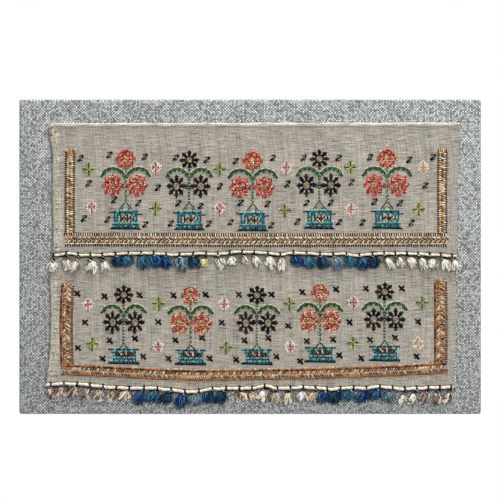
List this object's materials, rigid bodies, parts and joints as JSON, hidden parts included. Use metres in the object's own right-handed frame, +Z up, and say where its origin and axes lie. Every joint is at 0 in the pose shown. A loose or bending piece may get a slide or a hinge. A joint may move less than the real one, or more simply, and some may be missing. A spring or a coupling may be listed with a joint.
{
  "type": "embroidered towel-end panel on a linen-covered stretcher frame",
  "caption": "Shallow wall panel: grey linen stretched over a wooden frame, with two embroidered linen strips sewn on one above the other, each with a tasselled edge cord.",
  "frame": {"origin": "on the back, in the middle of the linen's top turn-in, 15 mm below the top edge", "axes": "+X to the right seen from the front, +Z up, the front faces -Y and the back lies in the plane y = 0"},
  "size_m": [0.559, 0.0262, 0.381],
  "materials": {
    "stretcher_wood": "bare planed softwood",
    "ground_linen": "grey plain-weave linen, matt",
    "towel_linen": "aged off-white plain-weave linen, matt",
    "fringe_yarn": "soft cream cord and tufts, matt",
    "blue_yarn": "soft blue tufts, matt",
    "embroidery_thread": "floss stitches, slight sheen"
  },
  "bodies": {
    "root": {"stretcher_top": "stretcher_wood", "stretcher_right": "stretcher_wood", "stretcher_bottom": "stretcher_wood", "stretcher_left": "stretcher_wood", "ground_cover": "ground_linen", "upper_band": "towel_linen", "lower_band": "towel_linen", "upper_fringe": "fringe_yarn", "lower_fringe": "fringe_yarn"}
  },
  "joints": []
}
